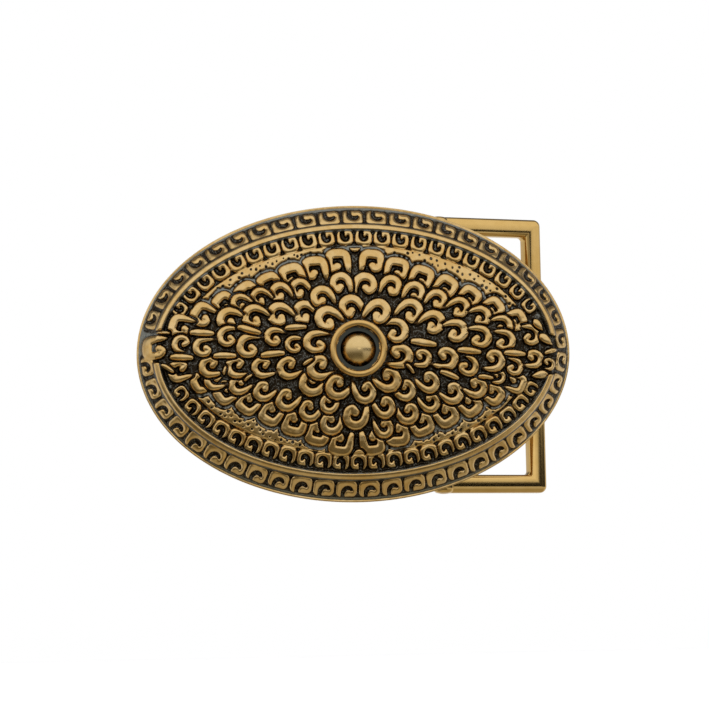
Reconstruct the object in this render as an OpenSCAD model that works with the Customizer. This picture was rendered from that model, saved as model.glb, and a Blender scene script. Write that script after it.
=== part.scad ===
// Oval plaque belt buckle: a hollow domed plaque with a riveted centre boss, a screwed back
// plate, a belt hook at one end and a hinged rectangular strap loop at the other.
// Worn position: X along the belt, Z up, the face looks along -Y and the belt lies at +Y.
// The origin is the centre of the back plane, which lies against the belt.

/* [Plaque] */
// Width of the oval plaque along the belt
plaque_w = 75; // [72:0.5:80]
// Height of the oval plaque
plaque_h = 51.4; // [50:0.2:53]
// Thickness of the upright edge all round
edge_t = 1.1; // [0.9:0.1:1.4]
// Width of the raised rib's oval
rib_w = 68.7; // [68.1:0.1:69.3]
// Height of the raised rib's oval
rib_h = 43.1; // [42.7:0.1:43.5]
// Level of the rib above the back plane
rib_level = 4.8; // [4.4:0.1:5]
// Height of the dome's crown above the back plane
crown_level = 8.4; // [8.2:0.1:9.4]
// Radius of the rib's bead
rib_r = 0.6; // [0.45:0.05:0.8]
// Height of the pointed rosette panel above the dome
rosette_t = 0.8; // [0.5:0.1:1]
// Length of the rosette panel from tip to tip
rosette_l = 71; // [66:1:72]
// Height of the rosette panel
rosette_h = 35.4; // [32:0.2:37]
// How far each side of the rosette panel bulges
rosette_bulge = 2.2; // [1:0.1:3]
// Wall thickness of the hollow casting
wall_t = 1.8; // [1.4:0.1:2]

/* [Boss] */
// Outer diameter of the boss collar
collar_d = 9.8; // [9.2:0.1:10.2]
// Inner diameter of the boss collar
collar_id = 7.6; // [7.2:0.1:8]
// Height of the collar above its seat
collar_h = 2; // [1.6:0.1:2.4]
// Thickness of the collar's floor
collar_floor_t = 0.5; // [0.4:0.05:0.7]
// Diameter of the polished dome
dome_d = 6.1; // [5.6:0.1:6.4]
// Height of the dome above the collar's floor
dome_h = 1.9; // [1.5:0.1:2.2]
// Diameter of the dome's rivet shank
dome_shank_d = 2.5; // [2:0.1:3]

/* [Back plate] */
// Thickness of the back plate
plate_t = 1.2; // [1:0.1:1.4]
// Width of the plaque's flat border round the back plate, measured at the top
plate_border = 2.9; // [2.7:0.1:3.2]
// Width of the ledge that the back plate rests on, measured at the top
ledge_w = 2.8; // [2.4:0.1:3]
// Sideways distance of the screws from the centre
screw_x = 23; // [22:0.5:24]
// Upward distance of the screws from the centre
screw_z = 9.5; // [9:0.5:10]
// Diameter of the screw's shank
screw_d = 2; // [1.8:0.1:2.2]
// Diameter of the screw's countersunk head
screw_head_d = 3.7; // [3.4:0.1:4]
// Length of the screw
screw_l = 3.9; // [3.5:0.1:4]

/* [Hinge] */
// Sideways distance of the hinge pin from the centre
hinge_x = 15.5; // [15:0.1:16.5]
// Distance of the hinge pin's axis behind the back plane
hinge_y = 3.1; // [2.8:0.1:3.4]
// Diameter of the hinge pin
pin_d = 2; // [1.8:0.1:2.2]
// Radial clearance of the pin in the lugs
pin_clearance = 0.05; // [0.03:0.01:0.08]
// Outer diameter of the lug's knuckle
lug_d = 4; // [3.8:0.1:4.2]
// Length of each lug along the pin
lug_l = 7; // [6:0.5:8]
// Length of the lug's foot beyond the knuckle
foot_l = 6.4; // [6:0.1:7]
// Thickness of the lug's foot
foot_t = 1.1; // [1:0.1:1.4]
// Diameter of the lug rivets' shanks
rivet_d = 1.6; // [1.4:0.1:1.8]
// Diameter of the lug rivets' heads
rivet_head_d = 2.8; // [2.6:0.1:3]

/* [Belt loop] */
// Height of the strap opening, which takes a 40 mm belt
opening_h = 42; // [41.4:0.1:42.4]
// Width of each rail of the loop
rail_w = 3.2; // [3:0.05:3.4]
// Thickness of each rail of the loop
rail_t = 3; // [2.6:0.1:3.2]
// Rounding of the rails' long edges
rail_edge_r = 0.9; // [0.6:0.1:1.2]
// Distance from the hinge pin's axis to the loop's outer edge
loop_reach = 19.3; // [18.5:0.1:20]
// Radius of the loop's corners seen from the front
loop_corner_r = 1.2; // [0.8:0.1:1.6]
// Outer diameter of the eyes at the ends of the loop
eye_d = 3.8; // [3.6:0.1:4]
// How far the loop is swung back from the plaque
loop_angle = 16; // [0:1:20]

/* [Hook] */
// Sideways distance of the hook from the centre
hook_x = 26; // [25:0.5:27]
// Diameter of the hook's round bar
hook_d = 3.8; // [3.6:0.1:4.2]
// Length of the post before the bend
hook_post_l = 2.2; // [1.8:0.1:3]
// Radius of the bend along the middle of the bar
hook_bend_r = 4; // [3.5:0.1:4.5]
// How far the bar bends towards the end of the plaque
hook_bend_angle = 60; // [45:1:65]
// Length of the straight tip between the bend's shoulder and its rounded end
hook_tip_l = 5; // [4:0.5:5.5]
// Diameter of the straight tip
hook_tip_d = 3.6; // [3.2:0.1:3.7]
// Diameter of the flange under the hook
hook_flange_d = 8.4; // [8:0.1:9]
// Thickness of the flange
hook_flange_t = 1; // [0.8:0.1:1.2]
// Diameter of the hook's rivet shank
hook_shank_d = 2.8; // [2.4:0.1:3]

/* [Hidden] */
$fn = 96;

// Gap left between two pieces that are fastened together
snug = 0.02;
// Gap left round a piece that drops into its place
loose = 0.05;
// Extra length of a cut past the face it starts from
past = 1;
// How far one solid reaches into the next where the two are joined
lap = 0.4;
// Facets of the large arcs
fine = 360;

// Round shapes are stretched sideways into the plaque's outline and into the rib's oval
edge_stretch = plaque_w / plaque_h;
rib_stretch = rib_w / rib_h;
edge_r = plaque_h / 2;
rib_at = rib_h / 2;
plate_r = edge_r - plate_border;
hollow_r = plate_r - ledge_w;
hollow_top_r = hollow_r - 0.4;

// Radius of the dome's arc over the rib, and the level of the arc's centre
dome_rise = crown_level - rib_level;
dome_arc_r = (rib_at * rib_at + dome_rise * dome_rise) / (2 * dome_rise);
dome_arc_y = crown_level - dome_arc_r;

// Each side of the rosette panel is one arc from the tip to the top
side_chord = norm([rosette_l, rosette_h]) / 2;
side_r = side_chord * side_chord / (8 * rosette_bulge) + rosette_bulge / 2;
side_out = [rosette_h, rosette_l] / norm([rosette_l, rosette_h]);
side_centre = [rosette_l, rosette_h] / 4 - side_out * (side_r - rosette_bulge);

// The boss stands in a flat round seat at the crown
seat_level = crown_level - 0.1;
seat_gap = 0.15;
boss_washer_d = 4.6;
boss_washer_t = 0.5;
crown_inside = crown_level - wall_t;
boss_tail_h = 0.8;

// Posts inside the casting take the screws
post_d = 4.6;
post_hole_depth = 2.9;
screw_head_t = 0.9;
screw_play = 0.2;
slot_w = 0.5;
slot_depth = 0.4;

half_open = opening_h / 2;
loop_half_h = half_open + rail_w;
side_play = 0.15;
lug_top = half_open - side_play;
rivet_head_t = 0.7;
rivet_tail_t = 0.5;
// The lug's two rivets stand in a line along its foot, nearer the middle of the plate
rivet_pitch = 3;
rivet_z = lug_top - 4.5;
rivet_x = hinge_x - lug_d / 2 - foot_l / 2;
pin_end_dome = 0.12;
// A rivet's tail is this much wider than its shank
rivet_tail_d = rivet_head_d * 0.85;
spread = 1.4;
// The straight tip starts this far inside the bend
tip_root = 0.4;
hook_washer_d = 5.6;
hook_washer_t = 0.5;
hook_tail_h = 0.6;
// The flange's chamfer takes the top part of its thickness
flange_chamfer = hook_flange_t * 0.4;

// Turns a shape that rises along Z to face the front
module to_front() { rotate([90, 0, 0]) children(); }

// Turns a shape that rises along Z to face the belt, at a place on the back plane
module to_belt(x, z, y = 0) { translate([x, y, z]) rotate([-90, 0, 0]) children(); }

// Stretches a round shape into the plaque's outline
module edge_oval() { scale([edge_stretch, 1, 1]) children(); }

// Stretches a round shape into the rib's oval
module rib_oval() { scale([rib_stretch, 1, 1]) children(); }

// The solid plaque: a sloping border up to the rib with a dome on it, raised by lift
module plaque_solid(lift = 0) {
    hull() {
        edge_oval() cylinder(r = edge_r, h = edge_t + lift);
        rib_oval() cylinder(r = rib_at, h = rib_level + lift);
    }
    rib_oval() rotate_extrude() intersection() {
        translate([0, rib_level + lift - lap]) square([rib_at - 0.1, dome_rise + past]);
        translate([0, dome_arc_y]) circle(r = dome_arc_r + lift, $fn = fine);
    }
}

// The hollow inside the plaque, above the ledge
module hollow() {
    rib_oval() rotate_extrude() intersection() {
        polygon([[0, plate_t - snug], [hollow_r, plate_t - snug], [hollow_top_r, rib_level - wall_t],
                 [hollow_top_r, crown_level], [0, crown_level]]);
        translate([0, dome_arc_y]) circle(r = dome_arc_r - wall_t, $fn = fine);
    }
}

// Outline of the pointed rosette panel
module rosette_outline() {
    intersection_for(sx = [-1, 1], sy = [-1, 1])
        translate([sx * side_centre.x, sy * side_centre.y]) circle(r = side_r, $fn = fine);
}

module at_screws() {
    for (sx = [-1, 1], sz = [-1, 1]) translate([sx * screw_x, sz * screw_z, 0]) children();
}

module front_plaque() {
    color("#8c7038") to_front() difference() {
        union() {
            difference() {
                union() {
                    plaque_solid();
                    rib_oval() rotate_extrude() translate([rib_at, rib_level]) circle(r = rib_r, $fn = 32);
                    intersection() {
                        plaque_solid(rosette_t);
                        translate([0, 0, plate_t + lap])
                            linear_extrude(crown_level + past) rosette_outline();
                    }
                }
                hollow();
            }
            intersection() {
                plaque_solid();
                at_screws() translate([0, 0, plate_t]) cylinder(d = post_d, h = crown_level);
            }
        }
        translate([0, 0, -past]) edge_oval() cylinder(r = plate_r, h = plate_t + past);
        translate([0, 0, seat_level]) cylinder(d = collar_d + 2 * seat_gap, h = rosette_t + past);
        cylinder(d = dome_shank_d + 2 * snug, h = crown_level + past);
        translate([0, 0, crown_inside - past]) cylinder(d = boss_washer_d + 2 * seat_gap, h = past);
        at_screws() cylinder(d = screw_d + 2 * snug, h = plate_t + post_hole_depth);
    }
}

// A shallow cup whose wall is the ring round the dome
module boss_collar() {
    ring_w = (collar_d - collar_id) / 2;
    color("#c9a35c") to_front() translate([0, 0, seat_level]) rotate_extrude() difference() {
        union() {
            square([collar_d / 2, collar_h - ring_w / 2]);
            translate([collar_id / 2 + ring_w / 2, collar_h - ring_w / 2])
                circle(d = ring_w, $fn = 48);
        }
        translate([0, collar_floor_t]) square([collar_id / 2, collar_h]);
        translate([0, -past]) square([dome_shank_d / 2 + snug, collar_h + past]);
    }
}

module boss_dome() {
    base = seat_level + collar_floor_t;
    r = dome_d / 2;
    arc_r = (r * r + dome_h * dome_h) / (2 * dome_h);
    tail = crown_inside - boss_washer_t;
    color("#d4ad66") to_front() union() {
        intersection() {
            translate([0, 0, base + dome_h - arc_r]) sphere(r = arc_r);
            translate([0, 0, base]) cylinder(d = dome_d + 1, h = dome_h + 1);
        }
        translate([0, 0, tail - lap]) cylinder(d = dome_shank_d, h = base - tail + 2 * lap);
        translate([0, 0, tail - boss_tail_h])
            cylinder(d1 = dome_shank_d, d2 = dome_shank_d * spread, h = boss_tail_h);
    }
}

module boss_washer() {
    color("#b08a45") to_front() translate([0, 0, crown_inside - boss_washer_t]) difference() {
        cylinder(d = boss_washer_d, h = boss_washer_t);
        translate([0, 0, -past]) cylinder(d = dome_shank_d + 2 * snug, h = boss_washer_t + 2 * past);
    }
}

module back_plate() {
    sink_d = screw_head_d + 2 * snug;
    color("#b58f4a") difference() {
        to_front() difference() {
            edge_oval() cylinder(r = plate_r - loose, h = plate_t);
            at_screws() {
                translate([0, 0, -past]) cylinder(d = screw_d + screw_play, h = plate_t + 2 * past);
                cylinder(d1 = sink_d, d2 = screw_d + screw_play, h = screw_head_t);
            }
        }
        at_rivets() cylinder(d = rivet_d + 2 * snug, h = 2 * (plate_t + past), center = true);
        to_belt(-hook_x, 0) cylinder(d = hook_shank_d + 2 * snug, h = 2 * (plate_t + past), center = true);
    }
}

module plate_screw() {
    difference() {
        union() {
            cylinder(d1 = screw_head_d, d2 = screw_d, h = screw_head_t);
            cylinder(d = screw_d, h = screw_l);
        }
        translate([-screw_head_d, -slot_w / 2, -past]) cube([2 * screw_head_d, slot_w, slot_depth + past]);
    }
}

module plate_screws() { color("#c8a765") to_front() at_screws() plate_screw(); }

// Places of the four lug rivets, two in each foot
module at_rivets() {
    for (sz = [-1, 1], i = [-1, 1]) to_belt(rivet_x + i * rivet_pitch / 2, sz * rivet_z) children();
}

// A cast lug above the middle: a knuckle for the pin on a flat foot
module hinge_lug() {
    difference() {
        translate([0, 0, lug_top - lug_l]) linear_extrude(lug_l) {
            translate([hinge_x, hinge_y]) circle(d = lug_d);
            translate([hinge_x - lug_d / 2, 0]) square([lug_d, hinge_y]);
            translate([hinge_x - lug_d / 2 - foot_l, 0]) square([foot_l + lug_d / 2, foot_t]);
        }
        translate([hinge_x, hinge_y, 0]) cylinder(r = pin_d / 2 + pin_clearance, h = loop_half_h);
        at_rivets() cylinder(d = rivet_d + 2 * snug, h = 2 * foot_t + past, center = true);
    }
}

module hinge_lug_upper() { color("#b8924c") hinge_lug(); }

module hinge_lug_lower() { color("#b8924c") mirror([0, 0, 1]) hinge_lug(); }

module lug_rivet() {
    head_r = rivet_head_d / 2;
    arc_r = (head_r * head_r + rivet_head_t * rivet_head_t) / (2 * rivet_head_t);
    translate([0, 0, -plate_t - rivet_tail_t]) cylinder(d = rivet_tail_d, h = rivet_tail_t);
    translate([0, 0, -plate_t - lap]) cylinder(d = rivet_d, h = plate_t + foot_t + 2 * lap);
    intersection() {
        translate([0, 0, foot_t + rivet_head_t - arc_r]) sphere(r = arc_r);
        translate([0, 0, foot_t]) cylinder(d = rivet_head_d + 1, h = rivet_head_t + 1);
    }
}

module lug_rivets() { color("#caa660") at_rivets() lug_rivet(); }

module hook_flange() {
    color("#b8924c") to_belt(-hook_x, 0) difference() {
        union() {
            cylinder(d = hook_flange_d, h = hook_flange_t - flange_chamfer);
            translate([0, 0, hook_flange_t - flange_chamfer])
                cylinder(d1 = hook_flange_d, d2 = hook_flange_d - 2 * flange_chamfer, h = flange_chamfer);
        }
        translate([0, 0, -past]) cylinder(d = hook_shank_d + 2 * snug, h = hook_flange_t + 2 * past);
    }
}

// A bent round peg: shank, post, bend and straight tip with a rounded end
module belt_hook() {
    color("#c19a50") to_belt(-hook_x, 0) union() {
        translate([0, 0, -plate_t - hook_washer_t - hook_tail_h])
            cylinder(d1 = hook_shank_d, d2 = hook_shank_d * spread, h = hook_tail_h);
        translate([0, 0, -plate_t - hook_washer_t - lap])
            cylinder(d = hook_shank_d, h = plate_t + hook_washer_t + hook_flange_t + 2 * lap);
        translate([0, 0, hook_flange_t]) {
            cylinder(d = hook_d, h = hook_post_l);
            translate([-hook_bend_r, 0, hook_post_l]) rotate([90, 0, 0]) {
                rotate_extrude(angle = hook_bend_angle) translate([hook_bend_r, 0]) circle(d = hook_d);
                rotate([0, 0, hook_bend_angle]) translate([hook_bend_r, 0, 0]) rotate([-90, 0, 0]) {
                    translate([0, 0, -tip_root]) cylinder(d = hook_tip_d, h = hook_tip_l + tip_root);
                    translate([0, 0, hook_tip_l]) sphere(d = hook_tip_d);
                }
            }
        }
    }
}

module hook_washer() {
    color("#b08a45") to_belt(-hook_x, 0, -plate_t - hook_washer_t) difference() {
        cylinder(d = hook_washer_d, h = hook_washer_t);
        translate([0, 0, -past]) cylinder(d = hook_shank_d + 2 * snug, h = hook_washer_t + 2 * past);
    }
}

// Swings a shape drawn flat along +X from the hinge axis to the loop's place
module on_hinge() { translate([hinge_x, hinge_y, 0]) rotate([0, 0, loop_angle]) children(); }

// Section of a rail, centred, outward along X, with rounded long edges
module rail_section() {
    w = rail_w - 2 * rail_edge_r;
    t = rail_t - 2 * rail_edge_r;
    square([w, rail_t], center = true);
    square([rail_w, t], center = true);
    for (sx = [-1, 1], sy = [-1, 1]) translate([sx * w / 2, sy * t / 2]) circle(r = rail_edge_r, $fn = 48);
}

// The upper half of the loop: one level rail, mitred into the upright outer rail
module half_loop() {
    mid_z = half_open + rail_w / 2;
    upright_x = loop_reach - rail_w / 2;
    mitre = 3 * rail_w;
    intersection() {
        translate([loop_reach, 0, mid_z]) rotate([0, -90, 0]) linear_extrude(loop_reach) rail_section();
        translate([loop_reach, 0, loop_half_h]) rotate([90, 0, 0])
            linear_extrude(2 * rail_t, center = true)
                polygon([[0, 0], [-mitre, -mitre], [-2 * loop_reach, -mitre], [-2 * loop_reach, 0]]);
    }
    intersection() {
        translate([upright_x, 0, 0]) linear_extrude(loop_half_h) rail_section();
        translate([loop_reach, 0, loop_half_h]) rotate([90, 0, 0])
            linear_extrude(2 * rail_t, center = true)
                polygon([[0, 0], [-mitre, -mitre], [-mitre, -2 * loop_half_h], [0, -2 * loop_half_h]]);
    }
}

// Outline of the loop seen from the front, eyes and all, with its four corners rounded
module loop_outline() {
    r = loop_corner_r;
    end_x = -eye_d / 2;
    long = loop_reach - end_x;
    corner_z = loop_half_h - r;
    translate([end_x + r, -loop_half_h]) square([long - 2 * r, 2 * loop_half_h]);
    translate([end_x, -corner_z]) square([long, 2 * corner_z]);
    for (x = [end_x + r, loop_reach - r], z = [-corner_z, corner_z]) translate([x, z]) circle(r = r);
}

module belt_loop() {
    color("#c8a050") on_hinge() difference() {
        intersection() {
            union() {
                half_loop();
                mirror([0, 0, 1]) half_loop();
                for (s = [-1, 1]) translate([0, 0, s * (half_open + rail_w / 2)])
                    cylinder(d = eye_d, h = rail_w, center = true);
            }
            rotate([90, 0, 0]) linear_extrude(2 * eye_d, center = true) loop_outline();
        }
        cylinder(d = pin_d + 2 * snug, h = 2 * loop_half_h + 2 * past, center = true);
    }
}

module hinge_pin() {
    end_r = (pin_d * pin_d / 4 + pin_end_dome * pin_end_dome) / (2 * pin_end_dome);
    cap_h = 2 * (pin_end_dome + lap);
    color("#d0aa62") translate([hinge_x, hinge_y, 0]) {
        cylinder(d = pin_d, h = 2 * loop_half_h, center = true);
        for (s = [-1, 1]) intersection() {
            translate([0, 0, s * (loop_half_h + pin_end_dome - end_r)]) sphere(r = end_r);
            translate([0, 0, s * loop_half_h]) cylinder(d = pin_d, h = cap_h, center = true);
        }
    }
}

front_plaque();
boss_collar();
boss_dome();
boss_washer();
back_plate();
plate_screws();
hinge_lug_upper();
hinge_lug_lower();
lug_rivets();
hook_flange();
belt_hook();
hook_washer();
belt_loop();
hinge_pin();
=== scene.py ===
"""Looks of the oval belt buckle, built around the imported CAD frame.

The carved face of the plaque is one height field: scroll bands, rib, stippled fields and the
rosette of curls are strokes that raise it.  Sizes in the carving are in millimetres, as the
CAD's are; everything is turned into metres when the mesh is made.
"""
import math

import bmesh
import bpy
import numpy as np
from mathutils import Matrix, Vector


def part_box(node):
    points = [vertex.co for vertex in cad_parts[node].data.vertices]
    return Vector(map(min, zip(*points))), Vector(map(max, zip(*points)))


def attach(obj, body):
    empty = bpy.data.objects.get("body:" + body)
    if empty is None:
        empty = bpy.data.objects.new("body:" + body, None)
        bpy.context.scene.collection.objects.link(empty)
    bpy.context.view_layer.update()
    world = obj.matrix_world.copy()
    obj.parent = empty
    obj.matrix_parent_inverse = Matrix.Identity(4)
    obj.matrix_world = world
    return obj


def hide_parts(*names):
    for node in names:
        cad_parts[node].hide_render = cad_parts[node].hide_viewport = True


MM = 0.001
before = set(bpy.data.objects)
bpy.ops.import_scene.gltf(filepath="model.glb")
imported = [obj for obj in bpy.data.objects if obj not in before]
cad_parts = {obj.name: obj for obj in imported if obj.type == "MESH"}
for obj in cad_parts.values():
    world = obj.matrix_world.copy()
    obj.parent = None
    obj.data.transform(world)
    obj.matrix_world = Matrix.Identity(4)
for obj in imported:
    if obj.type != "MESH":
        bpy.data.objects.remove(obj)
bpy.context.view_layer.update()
rng = np.random.default_rng(7)


# ---------------------------------------------------------------- sizes, in millimetres

def box_mm(node):
    """Lowest and highest corner of a CAD node, in millimetres."""
    low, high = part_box(node)
    return np.array(low) / MM, np.array(high) / MM


plaque_low, plaque_high = box_mm("front_plaque")
plate_low, plate_high = box_mm("back_plate")
collar_low, collar_high = box_mm("boss_collar")
pin_low, pin_high = box_mm("hinge_pin")
loop_high = box_mm("belt_loop")[1]

# The plaque: half sizes of its ovals across and up, and levels above the back plane
EDGE = (plaque_high[[0, 2]] - plaque_low[[0, 2]]) / 2
EDGE_T = 1.1
RIB = np.array([34.35, 21.55])
RIB_LEVEL = 4.8
RIB_H = 0.55
CROWN = 8.4
DOME_RISE = CROWN - RIB_LEVEL
DOME_R = (RIB[1] ** 2 + DOME_RISE ** 2) / (2 * DOME_RISE)
HOLLOW = np.array([31.7, 20.0])
WALL = 1.8
# The recess of the back plate and the seat of the boss leave a thin gap round their pieces
PLATE_GAP = 0.05
PLATE = (plate_high[[0, 2]] - plate_low[[0, 2]]) / 2 + PLATE_GAP
PLATE_T = plate_high[1] - plate_low[1]
SEAT_GAP = 0.15
SEAT_R = (collar_high[0] - collar_low[0]) / 2 + SEAT_GAP
SEAT_LEVEL = -collar_high[1]
# The strap loop: its rail's section, its reach from the hinge, and its eyes round the pin
HINGE = ((pin_low[0] + pin_high[0]) / 2, (pin_low[1] + pin_high[1]) / 2, 0)
LOOP_ANGLE = math.radians(16)
LOOP_REACH = 19.3
LOOP_CORNER_R = 1.2
RAIL_W = 3.2
RAIL_T = 3.0
RAIL_EDGE_R = 0.9
RAIL_CROWN_R = 7.0
EYE_D = 3.8
EYE_TOP_R = 0.9

# Relief of each zone: the floor and the top of the carving, measured from the CAD's surface
BORDER_FLOOR = -0.40
BORDER_TOP = 0.22
BAND_FLOOR = -0.40
BAND_TOP = 0.34
FIELD_TOP = 0.22
ROSETTE_FLOOR = -0.20
ROSETTE_TOP = 0.72
CAST_ROUGH = 0.05
# A stroke's edge: a steep wall that makes part of its height, a round shoulder, a groove beside it
WALL_HALF = 0.15
WALL_SHARE = 0.46
SHOULDER = 0.62
GROOVE = 0.36
PAD_GROOVE = 0.1
# How far from a stroke the dark of its crevice starts to fade, and how far it reaches
CREVICE_FULL = 0.25
CREVICE_END = 1.0


# ---------------------------------------------------------------- the carving's drawing

# Strokes of the carving in their own square: across towards the hooked side, outward, the
# stroke's half width as a part of the motif's size, and how high it stands.
ROUND_CURL = (
    (-0.41, -0.50, 0.060, 0.45), (-0.40, -0.32, 0.100, 0.80), (-0.37, -0.06, 0.135, 1.00),
    (-0.26, 0.20, 0.155, 1.00), (-0.02, 0.33, 0.165, 1.00), (0.24, 0.25, 0.160, 1.00),
    (0.35, 0.02, 0.145, 1.00), (0.30, -0.22, 0.135, 1.00), (0.13, -0.31, 0.130, 0.98),
    (0.03, -0.15, 0.150, 0.95))
SQUARE_CURL = (
    (-0.39, -0.46, 0.085, 0.60), (-0.38, -0.24, 0.125, 0.95), (-0.36, 0.06, 0.155, 1.00),
    (-0.27, 0.27, 0.175, 1.00), (0.00, 0.32, 0.185, 1.00), (0.26, 0.28, 0.175, 1.00),
    (0.35, 0.05, 0.150, 1.00), (0.31, -0.22, 0.140, 1.00), (0.14, -0.32, 0.135, 0.98),
    (0.04, -0.17, 0.150, 0.94))
# A pad is a rounded block with one curved slit, given from its open outer end
OUTER_SLIT = (
    (-0.16, 0.60, 0.090), (-0.17, 0.34, 0.085), (-0.14, 0.12, 0.100), (-0.02, -0.04, 0.100),
    (0.14, -0.04, 0.085), (0.24, 0.06, 0.045))
INNER_SLIT = (
    (-0.14, 0.60, 0.075), (-0.15, 0.32, 0.090), (-0.13, 0.06, 0.110), (-0.01, -0.08, 0.120),
    (0.12, -0.04, 0.085), (0.18, 0.10, 0.040))
BAR = (
    (-0.42, 0.00, 0.13, 0.95), (-0.20, 0.03, 0.16, 1.00), (0.20, 0.00, 0.15, 1.00),
    (0.42, -0.03, 0.12, 0.90))
# A leaf is a stroke with a blunt end and a pointed one, and a wedge is bent in the middle
LEAF = (
    (-0.40, 0.00, 0.11, 0.90), (-0.18, 0.00, 0.23, 1.00), (0.12, 0.00, 0.19, 1.00),
    (0.46, 0.00, 0.05, 0.90))
WEDGE = ((-0.42, 0.20, 0.06, 0.90), (0.00, 0.00, 0.20, 0.95), (0.42, 0.20, 0.06, 0.90))

# Rows of curls: first place, last place, how far the row bows outward, count, and the size of
# the first and of the last curl
ROWS = (
    ((2.8, 15.2), (27.6, 4.9), 0.7, 7, 4.3, 3.7, SQUARE_CURL),
    ((-3.0, 15.2), (-30.0, 4.5), 0.8, 8, 4.5, 4.1, SQUARE_CURL),
    ((-3.1, -15.8), (-30.4, -3.1), 0.3, 8, 4.4, 3.8, SQUARE_CURL),
    ((2.3, -15.7), (27.4, -5.9), 0.5, 7, 4.4, 3.6, SQUARE_CURL),
    ((5.9, 10.9), (25.2, 4.0), 0.4, 6, 4.0, 3.8, ROUND_CURL),
    ((-9.6, 10.6), (-19.8, 8.3), 0.2, 4, 3.8, 3.6, ROUND_CURL),
    ((-4.6, -12.5), (-24.5, -4.9), -1.1, 6, 4.3, 3.5, ROUND_CURL),
    ((8.3, -11.0), (20.3, -6.7), -0.5, 4, 4.0, 3.8, ROUND_CURL),
    ((9.1, 6.5), (25.5, 1.4), -0.9, 5, 4.6, 3.9, ROUND_CURL),
    ((-8.9, 6.4), (-21.9, 5.6), 0.1, 4, 4.4, 4.2, ROUND_CURL),
    ((-11.9, -3.1), (-25.2, -2.6), 0.0, 4, 4.2, 3.9, ROUND_CURL))
# Single curls: place, size, and 1 for the usual hand or -1 for the other
SINGLES = (
    ((1.4, 11.2), 4.3, 1), ((-2.6, 11.4), 4.0, 1), ((-5.9, 9.1), 4.2, 1), ((30.2, 2.4), 3.8, 1),
    ((4.2, -13.4), 3.6, 1), ((-0.5, -11.4), 4.6, 1), ((4.3, -9.9), 4.1, 1), ((-7.9, -5.8), 4.6, 1),
    ((-5.0, -9.2), 3.5, 1), ((7.9, -7.1), 4.0, 1), ((12.0, -5.8), 4.0, 1), ((24.2, -4.9), 2.8, 1),
    ((11.0, -1.7), 3.5, 1), ((15.2, -1.8), 4.2, 1), ((19.0, -3.0), 3.8, -1), ((23.6, -2.1), 4.0, 1),
    ((27.1, -3.1), 3.4, -1), ((30.6, -1.8), 3.3, 1), ((33.2, -2.7), 2.4, 1),
    ((-10.9, 1.0), 3.4, 1), ((-14.3, 2.4), 3.6, 1), ((-18.7, 0.9), 4.4, 1), ((-22.2, 2.6), 3.8, 1),
    ((-26.3, 0.9), 3.8, 1), ((-30.0, 1.4), 3.4, -1))
# The ring of curls round the boss
BOSS_RING = dict(count=10, radius=7.35, first=97.5, size=4.4)
TIP_HOOK = dict(place=(-34.4, 1.0), size=(4.0, 4.2), fat=1.2)
WEDGES = dict(height=17.3, size=(2.2, 1.4), fat=1.4)
# How thick the strokes are drawn, and how broad a bar's and a leaf's square is
CURL_FAT = 1.18
BAR_FAT = 1.6
BAR_SIZE = 1.6
LEAF_FAT = 1.5
LEAF_SIZE = 1.8
# Bars, mostly along the plaque's long axis: place, length, tilt in degrees
BARS = (
    ((-10.5, 3.9), 3.6, 4), ((-18.4, 3.6), 4.0, -16), ((-26.4, 3.3), 4.0, -3),
    ((-14.5, -0.6), 4.0, 6), ((-22.6, -0.7), 3.8, 0), ((-29.9, -0.8), 3.8, -3),
    ((11.3, 1.0), 4.4, -8), ((19.2, -0.4), 4.0, -5), ((27.2, -0.8), 3.7, -3),
    ((33.6, -0.4), 2.2, 18), ((22.0, -4.9), 2.6, -5), ((15.7, -4.5), 3.4, -20),
    ((-33.0, 3.4), 2.2, 4), ((-32.3, -2.6), 2.4, -32),
    ((-8.6, -2.0), 1.9, 35), ((-22.7, -3.2), 1.4, 80), ((-18.7, -4.5), 1.6, 40), ((8.9, -3.4), 2.0, -50))
# Leaves between the curls and the right tip: place, length, and the way the point turns in degrees
LEAVES = (((31.5, 4.1), 2.6, -50), ((32.8, 1.6), 3.0, -38), ((31.5, -4.5), 3.0, 188))
# The inner band and the stippled fields sit a little high on the plaque, less so in the lower
# half, and the border's pads sit a little low
BAND_RISE = 0.45
BAND_RISE_LOWER = 0.12
BORDER_DROP = 0.08
# The two bands of pads.  hands, counts and rises are for the upper half, then the lower one;
# middle is the oval of the pads' centres, start is how far from the long axis the band starts, in
# radians, and with half_step the first pad is half a step further on.
OUTER_BAND = dict(
    slit=OUTER_SLIT, middle=EDGE * 0.46 + RIB * 0.54, start=0.0, half_step=True, hands=(-1, 1),
    counts=(23, 24), size=(3.75, 2.65), tip_size=(3.4, 2.1), rises=(-BORDER_DROP, -BORDER_DROP))
INNER_BAND = dict(
    slit=INNER_SLIT, middle=RIB - np.array([2.1, 2.45]), start=0.375, half_step=False, hands=(-1, -1),
    counts=(22, 23), size=(3.05, 2.80), tip_size=(2.6, 2.2), rises=(BAND_RISE, BAND_RISE_LOWER))
# The stippled fields: their outer oval, how far they sink beside the curls, and their pits
FIELD_OVAL = np.array([30.5, 17.75])
FIELD_SINK = 0.38
PIT_DEPTH = 0.22
PIT_COUNT = 190
PIT_SPACING_SQUARE = 0.62
# The rosette's panel is a pointed oval: its tip, its apex, and how far its four sides bulge
ROSETTE_TIP = 35.3
ROSETTE_APEX = 17.6
ROSETTE_BULGE = 2.2
# The rib is broken at the two tips, between these heights and beyond this far from the middle,
# and the tip hook takes the place of the border's pads beyond HOOK_X
LEFT_BREAK = (-1.5, 3.9)
RIGHT_BREAK = (-4.3, 2.3)
BREAK_X = 31
HOOK_X = -34


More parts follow.
